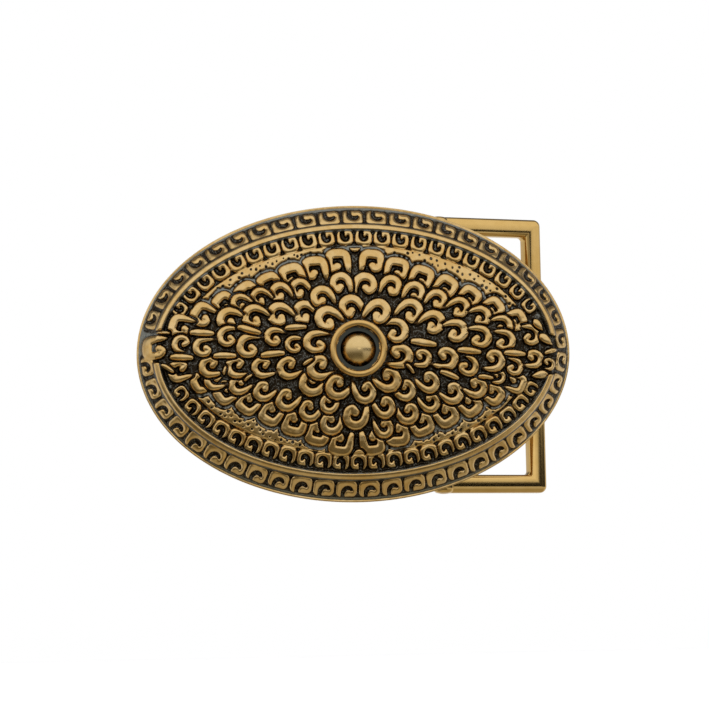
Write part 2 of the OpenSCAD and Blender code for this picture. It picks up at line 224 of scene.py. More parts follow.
def value_noise(x, z, size, seed):
    """Smooth random field between -1 and 1 whose bumps are about size millimetres wide."""
    lattice = np.random.default_rng(seed).uniform(-1, 1, (256, 256))
    u = x / size + 100.37
    v = z / size + 100.61
    i = np.floor(u).astype(int)
    j = np.floor(v).astype(int)
    fu = u - i
    fv = v - j
    fu = fu * fu * (3 - 2 * fu)
    fv = fv * fv * (3 - 2 * fv)
    i %= 255
    j %= 255
    near = lattice[i, j] * (1 - fu) + lattice[i + 1, j] * fu
    far = lattice[i, j + 1] * (1 - fu) + lattice[i + 1, j + 1] * fu
    return near * (1 - fv) + far * fv


def smooth_step(low, high, value):
    """0 at low and 1 at high, with a soft start and end; low may be the larger one."""
    t = np.clip((value - low) / (high - low), 0, 1)
    return t * t * (3 - 2 * t)


def spline(points):
    """Points along a Catmull-Rom curve through the given points, four to each span."""
    per_span = 4
    p = np.array(points, float)
    p = np.vstack([2 * p[0] - p[1], p, 2 * p[-1] - p[-2]])
    out = []
    for k in range(1, len(p) - 2):
        for t in np.arange(per_span) / per_span:
            a, b, c, d = p[k - 1:k + 3]
            out.append(0.5 * (2 * b + (c - a) * t + (2 * a - 5 * b + 4 * c - d) * t ** 2
                              + (3 * b - a - 3 * c + d) * t ** 3))
    out.append(p[-2])
    return np.array(out)


def border_share(x, z):
    """How far up the sloping border a place is: 0 at the plaque's edge and 1 at the rib."""
    low = np.zeros_like(x)
    high = np.ones_like(x)
    for _ in range(18):
        mid = (low + high) / 2
        a = EDGE[0] + (RIB[0] - EDGE[0]) * mid
        b = EDGE[1] + (RIB[1] - EDGE[1]) * mid
        inside = (x / a) ** 2 + (z / b) ** 2 <= 1
        low = np.where(inside, mid, low)
        high = np.where(inside, high, mid)
    return low


def oval_distance(x, z, half):
    """Distance outside an oval in millimetres, negative inside, good near the oval."""
    q = np.sqrt((x / half[0]) ** 2 + (z / half[1]) ** 2)
    slope = np.sqrt((x / half[0] ** 2) ** 2 + (z / half[1] ** 2) ** 2)
    return (q - 1) * q / np.maximum(slope, 1e-6)


def field_distance(x, z):
    """Distance outside the oval of the stippled fields, negative inside."""
    return oval_distance(x, z - np.where(z > 0, BAND_RISE, BAND_RISE_LOWER), FIELD_OVAL)


def rosette_distance(x, z):
    """Distance outside the pointed panel whose four sides are arcs, negative inside."""
    chord = math.hypot(ROSETTE_TIP, ROSETTE_APEX)
    radius = chord * chord / (8 * ROSETTE_BULGE) + ROSETTE_BULGE / 2
    out = np.array([ROSETTE_APEX, ROSETTE_TIP]) / chord
    centre = np.array([ROSETTE_TIP, ROSETTE_APEX]) / 2 - out * (radius - ROSETTE_BULGE)
    return np.hypot(np.abs(x) - centre[0], np.abs(z) - centre[1]) - radius


class Carving:
    """One zone's height field.

    raised is how far each place stands up from floor to top, 0 to 1, and clear is its distance
    from the nearest stroke.
    """

    def __init__(self, x, z):
        self.x = x
        self.z = z
        self.raised = np.zeros_like(x)
        self.clear = np.full_like(x, 9.0)

    def window(self, place, outward, hand, reach):
        """The grid points near a motif, and where they lie across and along it."""
        close_x = np.abs(self.x - place[0]) < reach
        close_z = np.abs(self.z - place[1]) < reach
        near = np.flatnonzero(close_x & close_z)
        dx = self.x[near] - place[0]
        dz = self.z[near] - place[1]
        across = hand * (dz * math.cos(outward) - dx * math.sin(outward))
        along = dx * math.cos(outward) + dz * math.sin(outward)
        return near, across, along

    def raise_shape(self, near, gap, lift, groove, stand=1.0):
        """Stands a shape up with a steep wall and a rounded shoulder, and cuts a groove round it.

        Where the shape runs out and stands low, what was raised before it is kept.
        """
        wall = smooth_step(WALL_HALF, -WALL_HALF, gap)
        shoulder = 1 - (1 - np.clip(-gap / SHOULDER, 0, 1)) ** 2
        value = (WALL_SHARE * wall + (1 - WALL_SHARE) * shoulder) * lift * stand
        kept = np.maximum(smooth_step(0.0, groove, gap), 1 - smooth_step(0.3, 0.7, stand))
        self.raised[near] = np.maximum(self.raised[near] * kept, value)
        self.clear[near] = np.minimum(self.clear[near], np.maximum(gap, 0))

    def stroke(self, place, outward, size, hand, path, fat, lift=1.0):
        """Raises a stroke of changing width."""
        near, across, along = self.window(place, outward, hand, 0.85 * max(size) + GROOVE + 0.9)
        gap, stand = stroke_gap(across, along, size, path, fat)
        self.raise_shape(near, gap, lift, GROOVE, stand)

    def pad(self, place, outward, size, hand, slit, fat, lift):
        """Raises a rounded block with a curved slit in it."""
        near, across, along = self.window(place, outward, hand, 0.8 * max(size) + 0.9)
        corner = 0.32 * min(size)
        over_u = np.abs(across) - size[0] / 2 + corner
        over_v = np.abs(along) - size[1] / 2 + corner
        block = np.hypot(np.maximum(over_u, 0), np.maximum(over_v, 0)) - corner
        block += np.minimum(np.maximum(over_u, over_v), 0)
        cut = stroke_gap(across, along, size, [(*point, 1) for point in slit], fat)[0]
        self.raise_shape(near, np.maximum(block, -cut), lift, PAD_GROOVE)


def stroke_gap(across, along, size, path, fat):
    """Distance outside a stroke of changing width, and how high its nearest part stands."""
    points = spline(path)
    u = points[:, 0] * size[0]
    v = points[:, 1] * size[1]
    half = points[:, 2] * (size[0] + size[1]) / 2 * fat
    gap = np.full(len(across), 9.0)
    stand = np.ones(len(across))
    for k in range(len(u) - 1):
        su = u[k + 1] - u[k]
        sv = v[k + 1] - v[k]
        t = np.clip(((across - u[k]) * su + (along - v[k]) * sv) / (su * su + sv * sv), 0, 1)
        d = np.hypot(across - u[k] - t * su, along - v[k] - t * sv)
        d -= half[k] + t * (half[k + 1] - half[k])
        stand = np.where(d < gap, points[k, 3] + t * (points[k + 1, 3] - points[k, 3]), stand)
        gap = np.minimum(gap, d)
    return gap, stand


def outward_angle(place):
    """The way a curl's round side points: square to the nested ovals of the plaque."""
    oval_lean = 2.5
    return math.atan2(place[1], place[0] / oval_lean)


def usual_hand(place):
    """Curls hook towards the plaque's long axis, so their hand changes from quarter to quarter."""
    return -1 if place[0] * place[1] > 0 else 1


def row_places(first, last, bow, count):
    """Evenly spaced places along a shallow arc."""
    first = np.array(first)
    last = np.array(last)
    run = last - first
    side = np.array([-run[1], run[0]]) / np.hypot(*run)
    side *= np.sign(side @ (first + last))
    for share in np.linspace(0, 1, count):
        yield share, first + run * share + side * bow * 4 * share * (1 - share)


def wobble(amount):
    """A random factor near 1."""
    return 1 + rng.uniform(-amount, amount)


def draw_curl(carving, place, size, path, hand=1, outward=None):
    """One curl with small random changes of angle, size, thickness and height."""
    turn = outward_angle(place) if outward is None else outward
    turn += math.radians(rng.uniform(-7, 7))
    shape = (size * wobble(0.05), size * wobble(0.06))
    fat = CURL_FAT * wobble(0.07)
    carving.stroke(place, turn, shape, hand * usual_hand(place), path, fat, wobble(0.05))


def draw_rosette(carving):
    """The rosette: rows of curls, single curls, the boss's ring, bars, leaves, hook and wedges."""
    for first, last, bow, count, size0, size1, path in ROWS:
        for share, place in row_places(first, last, bow, count):
            draw_curl(carving, place, size0 + (size1 - size0) * share, path)
    for place, size, hand in SINGLES:
        draw_curl(carving, place, size, ROUND_CURL, hand)
    for k in range(BOSS_RING["count"]):
        angle = math.radians(BOSS_RING["first"] + 360 / BOSS_RING["count"] * k)
        place = BOSS_RING["radius"] * np.array([math.cos(angle), math.sin(angle)])
        draw_curl(carving, place, BOSS_RING["size"], ROUND_CURL, outward=angle)
    for place, length, tilt in BARS:
        turn = math.radians(90 + tilt)
        carving.stroke(place, turn, (length, BAR_SIZE), -1, BAR, BAR_FAT, wobble(0.04))
    for place, length, tilt in LEAVES:
        carving.stroke(place, math.radians(90 + tilt), (length, LEAF_SIZE), -1, LEAF, LEAF_FAT)
    # A broad hook closes the left tip
    carving.stroke(TIP_HOOK["place"], math.pi, TIP_HOOK["size"], 1, SQUARE_CURL, TIP_HOOK["fat"])
    # The small wedges at the top and the bottom point inward
    for end in (1, -1):
        outward = end * math.pi / 2
        carving.stroke((0, end * WEDGES["height"]), outward, WEDGES["size"], 1, WEDGE, WEDGES["fat"])


def oval_walk(half, start, end, count, half_step):
    """Places evenly spaced along an oval between two angles, with the outward angle there."""
    fine = np.linspace(start, end, 2000)
    px = half[0] * np.cos(fine)
    pz = half[1] * np.sin(fine)
    run = np.concatenate([[0], np.cumsum(np.hypot(np.diff(px), np.diff(pz)))])
    steps = (np.arange(count) + 0.5) / count if half_step else np.linspace(0, 1, count)
    for share in steps:
        angle = np.interp(share * run[-1], run, fine)
        place = np.array([half[0] * math.cos(angle), half[1] * math.sin(angle)])
        yield place, math.atan2(place[1] / half[1] ** 2, place[0] / half[0] ** 2)


def draw_band(carving, band):
    """One band of scroll pads: upper half, then lower half."""
    middle = band["middle"]
    for turn, hand, count, rise in zip((1, -1), band["hands"], band["counts"], band["rises"]):
        first = turn * band["start"]
        last = turn * (math.pi - band["start"])
        for place, outward in oval_walk(middle, first, last, count, band["half_step"]):
            if place[0] < HOOK_X and LEFT_BREAK[0] < place[1] < LEFT_BREAK[1]:
                continue
            to_tip = smooth_step(0.75, 1.0, abs(place[0]) / middle[0])
            size = [a + (b - a) * to_tip for a, b in zip(band["size"], band["tip_size"])]
            size = (size[0] * wobble(0.04), size[1] * wobble(0.04))
            turned = outward + math.radians(rng.uniform(-4, 4))
            place = place + np.array([0, rise])
            carving.pad(place, turned, size, hand, band["slit"], wobble(0.10), wobble(0.05))


def disc_grid(columns, rows):
    """A square grid wrapped onto the unit disc with cells of nearly equal area."""
    a = np.broadcast_to(np.linspace(-1, 1, columns + 1)[None, :], (rows + 1, columns + 1))
    b = np.broadcast_to(np.linspace(-1, 1, rows + 1)[:, None], (rows + 1, columns + 1))
    wide = np.abs(a) > np.abs(b)
    radius = np.where(wide, a, b)
    safe_a = np.where(wide, a, 1)
    safe_b = np.where(wide | (b == 0), 1, b)
    angle = np.where(wide, math.pi / 4 * b / safe_a, math.pi / 2 - math.pi / 4 * a / safe_b)
    return radius * np.cos(angle), radius * np.sin(angle)


def draw_strokes(x, z):
    """The strokes of the border, the inner band and the rosette."""
    outer = Carving(x, z)
    draw_band(outer, OUTER_BAND)
    inner = Carving(x, z)
    draw_band(inner, INNER_BAND)
    panel = Carving(x, z)
    draw_rosette(panel)
    return outer, inner, panel


def border_zone(share, outer, rough):
    """Height and polish of the sloping border: floor, pads and the thin rim line."""
    rim = smooth_step(0.12, 0.08, share)
    level = BORDER_FLOOR * smooth_step(0.0, 0.12, share) + rough * (1 - rim)
    level += outer.raised * (BORDER_TOP - BORDER_FLOOR)
    return level, np.maximum(outer.raised, rim * 0.95)


def field_zone(x, z, inward, panel, cast):
    """Height, polish and pits of the stippled fields, which sink and darken beside the curls."""
    by_curls = smooth_step(0.8, 0.25, panel.clear + 0.12 * cast)
    pits, pit_depth = stipple(x, z)
    edge = FIELD_TOP * smooth_step(0.0, 0.18, inward)
    level = edge + 0.3 * (CAST_ROUGH * cast) - FIELD_SINK * by_curls
    return level - pit_depth, (0.95 - 0.75 * by_curls) * (1 - pits), pits


def blend(a, b, share):
    """a where share is 0 and b where it is 1."""
    return a * (1 - share) + b * share


def rib_break(x, z, span):
    """1 where the rib is left out at a tip."""
    soft = 0.3
    above = smooth_step(span[0] - soft, span[0] + soft, z)
    below = smooth_step(span[1] + soft, span[1] - soft, z)
    return above * below * (np.abs(x) > BREAK_X)


def rib_shape(x, z, rib_gap, on_panel):
    """The rib's slope and crest, 0 to 1: a flat-topped bead, longer on the inside."""
    inner_slope = smooth_step(-1.25, -0.38, rib_gap)
    outer_slope = smooth_step(0.85, 0.38, rib_gap)
    left = rib_break(x, z, LEFT_BREAK) * (x < 0)
    right = rib_break(x, z, RIGHT_BREAK) * (x > 0)
    whole = (1 - on_panel) * (1 - left - right)
    slope = np.where(rib_gap < 0, inner_slope, outer_slope) * whole
    return slope, smooth_step(0.60, 0.30, np.abs(rib_gap)) * whole


def plaque_field(x, z):
    """Level of the carved face above the back plane, how polished it is and how deep it lies."""
    share = border_share(x, z)
    across = (x * RIB[1] / RIB[0]) ** 2
    dome = np.sqrt(np.maximum(DOME_R ** 2 - across - z ** 2, 0)) + CROWN - DOME_R
    rib_gap = oval_distance(x, z, RIB)
    inside = rib_gap < 0
    base = np.where(inside, dome, EDGE_T + (RIB_LEVEL - EDGE_T) * share)

    # Zones of the face; inward runs over a field from the band's edge to the rosette's
    panel_gap = rosette_distance(x, z)
    field_gap = field_distance(x, z)
    in_field = smooth_step(0.12, -0.12, field_gap)
    width = np.maximum(-field_gap + np.maximum(panel_gap, 0), 1e-6)
    inward = np.clip(-field_gap / width, 0, 1)
    outer, inner, panel = draw_strokes(x, z)
    curls = smooth_step(0.02, 0.5, panel.raised)
    on_panel = np.maximum(smooth_step(0.15, -0.35, panel_gap), curls)

    # Heights over the base and polish: border, band, field and rosette
    cast = value_noise(x, z, 0.55, 3) * 0.5 + value_noise(x, z, 1.3, 4) * 0.5
    rough = CAST_ROUGH * cast
    border, border_polish = border_zone(share, outer, rough)
    band = BAND_FLOOR + rough + inner.raised * (BAND_TOP - BAND_FLOOR)
    field, field_polish, pits = field_zone(x, z, inward, panel, cast)
    rosette = ROSETTE_FLOOR + rough + panel.raised * (ROSETTE_TOP - ROSETTE_FLOOR)
    within = blend(blend(band, field, in_field), rosette, on_panel)
    within_polish = blend(blend(inner.raised, field_polish, in_field), panel.raised, on_panel)

    # The rib, and the left tip's hook, which runs over the rib and the border
    slope, crest = rib_shape(x, z, rib_gap, on_panel)
    offset = np.where(inside, within, border)
    offset = offset + slope * (RIB_H * 0.8 + 0.11 * crest - offset)
    polish = np.where(inside, within_polish, border_polish)
    polish = np.maximum(polish * (1 - slope), crest * 0.98)
    tip = curls * (rib_gap > -0.6)
    hook = BORDER_FLOOR + panel.raised * 0.85
    offset = np.where(tip > 0, blend(offset, hook, tip), offset)
    polish = np.maximum(polish, panel.raised * tip)

    # The flat seat under the boss
    seat = smooth_step(SEAT_R + 0.3, SEAT_R, np.hypot(x, z))
    level = blend(base + offset, SEAT_LEVEL, seat)
    polish = polish * (1 - seat)

    # Crevices beside the strokes are darkest; open slopes keep a grey bloom
    clear = np.where(inside, np.minimum(inner.clear, panel.clear), outer.clear)
    depth = smooth_step(CREVICE_END, CREVICE_FULL, clear)
    up_border = smooth_step(0.10, 0.26, share)
    depth = np.where(inside, np.maximum(depth, on_panel), depth * up_border)
    depth = np.where(slope > 0.05, np.minimum(depth, 1 - 0.9 * slope), depth)
    open_field = in_field * (1 - on_panel) * smooth_step(0.05, 0.3, inward)
    depth = np.maximum(depth * (1 - open_field), pits * in_field)
    return level, np.clip(polish, 0, 1), np.maximum(depth, seat)


def pit_places():
    """Random places and radii of the pits, seldom close to each other."""
    draws = np.random.default_rng(21)
    chosen = []
    while len(chosen) < PIT_COUNT:
        px = draws.uniform(-27, 28)
        pz = draws.uniform(-17, 17)
        if field_distance(px, pz) > -0.45 or rosette_distance(px, pz) < 0.35:
            continue
        crowded = any((px - cx) ** 2 + (pz - cz) ** 2 < PIT_SPACING_SQUARE for cx, cz, _ in chosen)
        if crowded and draws.random() > 0.01:
            continue
        chosen.append((px, pz, draws.uniform(0.17, 0.30)))
    return chosen


def stipple(x, z):
    """Small punched pits scattered over the fields beside the rosette, and their depth."""
    pits = np.zeros_like(x)
    depth = np.zeros_like(x)
    for px, pz, radius in pit_places():
        near = np.flatnonzero((np.abs(x - px) < 0.6) & (np.abs(z - pz) < 0.6))
        away = np.hypot(x[near] - px, z[near] - pz)
        dip = smooth_step(radius + 0.08, radius - 0.12, away)
        pits[near] = np.maximum(pits[near], dip)
        depth[near] = np.maximum(depth[near], dip * PIT_DEPTH)
    return pits, depth


# ---------------------------------------------------------------- meshes

def new_object(name, verts, faces):
    """An object from corners in metres, linked to the scene."""
    mesh = bpy.data.meshes.new(name)
    mesh.from_pydata(verts, [], faces)
    mesh.update()
    obj = bpy.data.objects.new(name, mesh)
    bpy.context.scene.collection.objects.link(obj)
    return obj


def add_attribute(obj, name, values):
    """A number at each corner, for the material to read."""
    layer = obj.data.attributes.new(name, "FLOAT", "POINT")
    layer.data.foreach_set("value", np.asarray(values, np.float32))


def grid_faces(rows, columns):
    """The corner numbers of a grid, as quads and as one walk round its rim."""
    index = np.arange((rows + 1) * (columns + 1)).reshape(rows + 1, columns + 1)
    corners = [index[:-1, :-1], index[:-1, 1:], index[1:, 1:], index[1:, :-1]]
    rim = [index[0, :-1], index[:-1, -1], index[-1, :0:-1], index[:0:-1, 0]]
    return np.stack(corners, -1).reshape(-1, 4), np.concatenate(rim)


def back_rings():
    """Ovals from the plaque's edge round the back border and up into the hollow.

    Each is half sizes, height above the back plane, and polish.
    """
    roof_edge = HOLLOW - 0.4
    rings = [
        (EDGE, EDGE_T * 0.82, 0.8), (EDGE, 0.18, 0.6), (EDGE - 0.18, 0.0, 0.7),
        (PLATE + 0.08, 0.0, 0.66), (PLATE, 0.08, 0.4), (PLATE, PLATE_T, 0.3),
        (HOLLOW, PLATE_T, 0.3), (roof_edge, RIB_LEVEL - WALL, 0.2)]
    for part in (0.93, 0.8, 0.6, 0.35, 0.05):
        half = roof_edge * part
        roof = math.sqrt((DOME_R - WALL) ** 2 - half[1] ** 2) + CROWN - DOME_R
        rings.append((half, max(roof, RIB_LEVEL - WALL), 0.2))
    return rings


def build_plaque():
    """The cast plaque as one shell: carved face, edge, back border, recess and hollow."""
    columns, rows = 500, 344
    u, v = disc_grid(columns, rows)
    x = (u * EDGE[0]).ravel()
    z = (v * EDGE[1]).ravel()
    level, polish, depth = plaque_field(x, z)
    quads, rim = grid_faces(rows, columns)
    angle = np.arctan2(z[rim] / EDGE[1], x[rim] / EDGE[0])
    verts = [np.stack([x, -level, z], -1)]
    worn = [polish]
    deep = [depth]
    loops = [rim]
    start = len(x)
    for half, height, polish_here in back_rings():
        across = half[0] * np.cos(angle)
        up = half[1] * np.sin(angle)
        verts.append(np.stack([across, np.full(len(rim), -height), up], -1))
        worn.append(np.full(len(rim), polish_here))
        deep.append(np.full(len(rim), 0.25))
        loops.append(start + np.arange(len(rim)))
        start += len(rim)
    faces = [quads]
    for outer, inner in zip(loops[:-1], loops[1:]):
        faces.append(np.stack([outer, inner, np.roll(inner, -1), np.roll(outer, -1)], -1))
    corners = (np.concatenate(verts) * MM).tolist()
    obj = new_object("plaque_carved", corners, np.concatenate(faces).tolist())
    obj.data.shade_smooth()
    add_attribute(obj, "polish", np.concatenate(worn))
    add_attribute(obj, "depth", np.concatenate(deep))
    return obj


def quarter_arc(centre, radius, start):
    """Points of a quarter circle that starts at an angle in degrees."""
    steps = 8
    points = []
    for step in range(steps + 1):
        angle = math.radians(start + 90 * step / steps)
        points.append((centre[0] + radius * math.cos(angle), centre[1] + radius * math.sin(angle)))
    return points


def rail_profile():
    """Section of the loop's rail: outward offset and depth, from the inner back edge round."""
    half_t = RAIL_T / 2
    flat_w = RAIL_W / 2 - RAIL_EDGE_R
    flat_t = half_t - RAIL_EDGE_R
    points = []
    for side_w, side_t, start in ((-1, 1, 90), (-1, -1, 180), (1, -1, 270), (1, 1, 0)):
        points += quarter_arc((side_w * flat_w, side_t * flat_t), RAIL_EDGE_R, start)
        if side_w < 0 and side_t < 0:
            points += [(w * flat_w, -half_t) for w in (-0.6, -0.2, 0.2, 0.6)]
    # The front is a little crowned
    return [(w, t + (w * w / (2 * RAIL_CROWN_R) if t < 0 else 0)) for w, t in points]


def loop_line(w):
    """One line along the loop, from one eye to the other, at an outward offset from the middle.

    The outer corners are round, and the inner ones are nearly sharp.
    """
    half_w = RAIL_W / 2
    radius = max(LOOP_CORNER_R - (half_w - w), 0.75 - 1.6 * (half_w + w), 0)
    left = -EYE_D / 2 + half_w - w
    right = LOOP_REACH - half_w + w
    top = loop_high[2] - half_w + w
    inner = loop_high[2] - RAIL_W
    line = [(left, -inner)]
    line += quarter_arc((left + radius, -top + radius), radius, 180)
    line += quarter_arc((right - radius, -top + radius), radius, 270)
    line += quarter_arc((right - radius, top - radius), radius, 0)
    line += quarter_arc((left + radius, top - radius), radius, 90)
    line.append((left, inner))
    return line


def ring_points(radius, height, turns):
    """Points of a level circle round the upright axis."""
    points = []
    for k in range(turns):
        angle = 2 * math.pi * k / turns
        points.append((radius * math.cos(angle), radius * math.sin(angle), height))
    return points


def rail_mesh():
    """The rail: its section swept along the loop, with both ends closed."""
    profile = rail_profile()
    verts = []
    for w, t in profile:
        verts += [(x, t, z) for x, z in loop_line(w)]
    count = len(verts) // len(profile)
    faces = []
    for i in range(len(profile)):
        here = i * count
        there = (i + 1) % len(profile) * count
        for k in range(count - 1):
            faces.append((here + k, there + k, there + k + 1, here + k + 1))
    faces.append(tuple(i * count for i in range(len(profile)))[::-1])
    faces.append(tuple(i * count + count - 1 for i in range(len(profile))))
    return verts, faces


def eye_mesh(sign, start):
    """One eye: a short barrel with a rounded end, at the top for sign 1 and the bottom for -1.

    start is the number that its first corner gets.
    """
    turns = 64
    pole_r = 0.02
    edge = 0.15
    r = EYE_D / 2
    foot = loop_high[2] - RAIL_W
    tip = loop_high[2] - 0.03
    rings = [(pole_r, foot), (r - edge, foot), (r, foot + edge)]
    for angle in np.linspace(0, 1.5, 8):
        rings.append((r - EYE_TOP_R + EYE_TOP_R * math.cos(angle),
                      tip - EYE_TOP_R + EYE_TOP_R * math.sin(angle)))
    rings.append((pole_r, tip))
    verts = []
    for ring_r, height in rings:
        verts += ring_points(ring_r, sign * height, turns)
    faces = []
    for i in range(len(rings) - 1):
        low = start + i * turns
        high = low + turns
        for k in range(turns):
            n = (k + 1) % turns
            quad = (low + k, low + n, high + n, high + k)
            faces.append(quad if sign > 0 else quad[::-1])
    last = start + (len(rings) - 1) * turns
    faces.append([start + k for k in range(turns)][::-sign])
    faces.append([last + k for k in range(turns)][::sign])
    return verts, faces


def build_loop():
    """The strap loop: one crowned rail mitred round its corners, with an eye at each end."""
    verts, faces = rail_mesh()
    for sign in (-1, 1):
        eye_verts, eye_faces = eye_mesh(sign, len(verts))
        verts += eye_verts
        faces += eye_faces
    turn = Matrix.Rotation(LOOP_ANGLE, 4, "Z")
    place = Matrix.Translation(Vector(HINGE) * MM) @ turn
    obj = new_object("strap_loop", [place @ (Vector(v) * MM) for v in verts], faces)
    work = bmesh.new()
    work.from_mesh(obj.data)
    bmesh.ops.remove_doubles(work, verts=work.verts, dist=2e-6)
    bmesh.ops.dissolve_degenerate(work, edges=work.edges, dist=1e-6)
    bmesh.ops.recalc_face_normals(work, faces=work.faces)
    work.to_mesh(obj.data)
    work.free()
    obj.data.shade_smooth()
    obj.data.set_sharp_from_angle(angle=math.radians(32))
    return obj


# ---------------------------------------------------------------- materials

def link(tree, source, target):
    tree.links.new(source, target)


def new_material(name):
    material = bpy.data.materials.new(name)
    material.use_nodes = True
    tree = material.node_tree
    return material, tree, tree.nodes["Principled BSDF"]


def noise(tree, place, scale, detail):
    """Noise between 0 and 1; scale is in bumps per metre."""
    node = tree.nodes.new("ShaderNodeTexNoise")
    node.inputs["Scale"].default_value = scale
    node.inputs["Detail"].default_value = detail
    node.inputs["Roughness"].default_value = 0.55
    link(tree, place, node.inputs["Vector"])
    return node.outputs["Fac"]


def math_node(tree, operation, a, b=None, c=None):
    """One sum; each of a, b and c is a number or another node's output."""
    node = tree.nodes.new("ShaderNodeMath")
    node.operation = operation
    for socket, value in zip(node.inputs, (a, b, c)):
        if value is None:
            continue
        if isinstance(value, (int, float)):
            socket.default_value = value
        else:
            link(tree, value, socket)
    return node.outputs[0]


def remap(tree, value, low, high, new_low=0.0, new_high=1.0, smooth=True):
    """Stretches low to high into new_low to new_high, and holds the ends."""
    node = tree.nodes.new("ShaderNodeMapRange")
    node.interpolation_type = "SMOOTHSTEP" if smooth else "LINEAR"
    link(tree, value, node.inputs["Value"])
    for name, number in zip(("From Min", "From Max", "To Min", "To Max"), (low, high, new_low, new_high)):
        node.inputs[name].default_value = number
    return node.outputs["Result"]


def mix_colour(tree, share, a, b):
    """Colour a where share is 0 and b where it is 1; each is a tuple or a node's output."""
    node = tree.nodes.new("ShaderNodeMix")
    node.data_type = "RGBA"
    link(tree, share, node.inputs["Factor"])
    for socket, value in ((node.inputs[6], a), (node.inputs[7], b)):
        if isinstance(value, tuple):
            socket.default_value = (*value, 1)
        else:
            link(tree, value, socket)
    return node.outputs[2]


def bump(tree, height, distance, strength, normal=None):
    node = tree.nodes.new("ShaderNodeBump")
    node.inputs["Distance"].default_value = distance
    node.inputs["Strength"].default_value = strength
    link(tree, height, node.inputs["Height"])
    if normal is not None:
        link(tree, normal, node.inputs["Normal"])
    return node.outputs["Normal"]


def object_place(tree):
    return tree.nodes.new("ShaderNodeTexCoord").outputs["Object"]


def attribute(tree, name):
    node = tree.nodes.new("ShaderNodeAttribute")
    node.attribute_name = name
    return node.outputs["Fac"]


def pick_normal(tree, share, a, b):
    node = tree.nodes.new("ShaderNodeMix")
    node.data_type = "VECTOR"
    link(tree, share, node.inputs["Factor"])
    link(tree, a, node.inputs[4])
    link(tree, b, node.inputs[5])
    return node.outputs[1]


# The cast plaque: worn tops, a brown band on the strokes' walls that is partly the patina's edge and
# partly painted shade, the grey bloom on open slopes, which also colours thin painted glints in the
# black, and the black of the crevices.  RECESS is the patina in the grooves of the boss.
GOLD = (0.66, 0.47, 0.22)
GOLD_DEEP = (0.57, 0.36, 0.125)
BROWN = (0.10, 0.055, 0.02)
GREY = (0.200, 0.205, 0.185)
BLACK = (0.024, 0.017, 0.010)
RECESS = (0.055, 0.058, 0.050)


def patina_colour(tree, coarse, depth):
    """Grey on open slopes, black in crevices, and thin pale lines in the black that are painted
    highlights standing in for glints.
    """
    deep = math_node(tree, "MULTIPLY_ADD", coarse, 0.3, depth)
    dark = mix_colour(tree, remap(tree, deep, 0.35, 0.95), GREY, BLACK)
    # Painted highlight: pale lines where the noise crosses its middle stand in for glints on the black
    away = math_node(tree, "ABSOLUTE", math_node(tree, "SUBTRACT", coarse, 0.5))
    painted_glint = remap(tree, away, 0.030, 0.006, 0, 0.55)
    return mix_colour(tree, painted_glint, dark, GREY)


def antique_brass():
    """Cast brass rubbed bright on its tops, with dark patina left in its recesses, a brown band on the
    walls that is partly patina edge and partly painted shade, and painted glints in the black.
    """
    material, tree, shader = new_material("antique_brass_cast")
    place = object_place(tree)
    fine = noise(tree, place, 5200, 4)
    coarse = noise(tree, place, 1100, 3)
    broad = noise(tree, place, 160, 3)
    worn = math_node(tree, "MULTIPLY_ADD", fine, 0.16, attribute(tree, "polish"))
    worn = math_node(tree, "MULTIPLY_ADD", coarse, 0.14, worn)
    gold_share = remap(tree, worn, 0.64, 0.78)
    # Brown band on the strokes' walls: partly the patina's edge, partly painted shade on the walls
    patina_edge_and_painted_shade = remap(tree, worn, 0.34, 0.64)
    clouds = math_node(tree, "MULTIPLY", broad, 0.5)
    tone = math_node(tree, "ADD", math_node(tree, "MULTIPLY", coarse, 0.5), clouds)
    gold = mix_colour(tree, remap(tree, tone, 0.35, 0.65), GOLD_DEEP, GOLD)
    dark = patina_colour(tree, coarse, attribute(tree, "depth"))
    dark = mix_colour(tree, patina_edge_and_painted_shade, dark, BROWN)
    link(tree, mix_colour(tree, gold_share, dark, gold), shader.inputs["Base Color"])
    shader.inputs["Metallic"].default_value = 1.0
    rough = remap(tree, gold_share, 0, 1, 0.22, 0.11, False)
    rough = math_node(tree, "MULTIPLY_ADD", fine, 0.16, rough)
    link(tree, rough, shader.inputs["Roughness"])
    grain = math_node(tree, "ADD", fine, math_node(tree, "MULTIPLY", coarse, 1.5))
    smooth_metal = bump(tree, grain, 0.00003, 0.35)
    pitted = bump(tree, coarse, 0.00022, 0.8, smooth_metal)
    link(tree, pick_normal(tree, gold_share, pitted, smooth_metal), shader.inputs["Normal"])
    return material


def patina_rings(tree, place, coarse, fine, rings, colour):
    """Dark patina in rings round the boss's axis, with uneven edges."""
    split = tree.nodes.new("ShaderNodeSeparateXYZ")
    link(tree, place, split.inputs[0])
    square = math_node(tree, "MULTIPLY", split.outputs["X"], split.outputs["X"])
    square = math_node(tree, "MULTIPLY_ADD", split.outputs["Z"], split.outputs["Z"], square)
    radius = math_node(tree, "SQRT", square)
    for cloud, amount in ((coarse, 0.0011), (fine, 0.0006)):
        uneven = math_node(tree, "SUBTRACT", cloud, 0.5)
        radius = math_node(tree, "MULTIPLY_ADD", uneven, amount, radius)
    for clean, dark in rings:
        share = remap(tree, radius, min(clean, dark), max(clean, dark))
        if clean > dark:
            share = math_node(tree, "SUBTRACT", 1.0, share)
        colour = mix_colour(tree, remap(tree, share, 0.0, 0.45), colour, BROWN)
        colour = mix_colour(tree, remap(tree, share, 0.45, 1.0), colour, RECESS)
    return colour


def brushed_place(tree, place, stretch):
    mapping = tree.nodes.new("ShaderNodeMapping")
    mapping.inputs["Scale"].default_value = stretch
    link(tree, place, mapping.inputs["Vector"])
    return mapping.outputs["Vector"]


